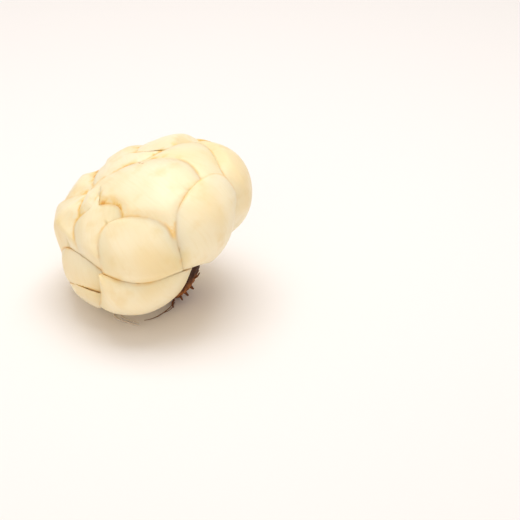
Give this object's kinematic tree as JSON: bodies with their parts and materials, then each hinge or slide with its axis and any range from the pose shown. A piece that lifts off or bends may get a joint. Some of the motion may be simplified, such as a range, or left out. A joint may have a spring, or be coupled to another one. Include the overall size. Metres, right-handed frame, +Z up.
{
  "type": "lily bulb",
  "caption": "Fresh edible lily bulb: squat, with fleshy overlapping cream scales on a basal plate with short brown roots; it lies tilted on its side and rests on a flat spot.",
  "frame": {"origin": "on the surface the bulb rests on, under the middle of its bounding box", "axes": "+Z up; +X to the side that the basal plate and roots face, so the bulb's nose leans 34 degrees from +Z towards -X; +Y to the back, across the bulb's widest extent"},
  "size_m": [0.0786, 0.089, 0.064],
  "materials": {
    "scale": "satin",
    "heart": "satin",
    "plate": "matte",
    "root": "matte"
  },
  "bodies": {
    "root": {"outer_scale_01": "scale", "outer_scale_02": "scale", "outer_scale_03": "scale", "outer_scale_04": "scale", "outer_scale_05": "scale", "outer_scale_06": "scale", "outer_scale_07": "scale", "outer_scale_08": "scale", "outer_scale_09": "scale", "outer_scale_10": "scale", "outer_scale_11": "scale", "outer_scale_12": "scale", "outer_scale_13": "scale", "outer_scale_14": "scale", "outer_scale_15": "scale", "outer_scale_16": "scale", "outer_scale_17": "scale", "outer_scale_18": "scale", "outer_scale_19": "scale", "outer_scale_20": "scale", "inner_scale_01": "heart", "inner_scale_02": "heart", "inner_scale_03": "heart", "inner_scale_04": "heart", "inner_scale_05": "heart", "inner_scale_06": "heart", "central_bud": "heart", "basal_plate": "plate", "root_01": "root", "root_02": "root", "root_03": "root", "root_04": "root", "root_05": "root", "root_06": "root", "root_07": "root", "root_08": "root", "root_09": "root", "root_10": "root", "root_11": "root", "root_12": "root", "root_13": "root", "root_14": "root"}
  },
  "joints": []
}
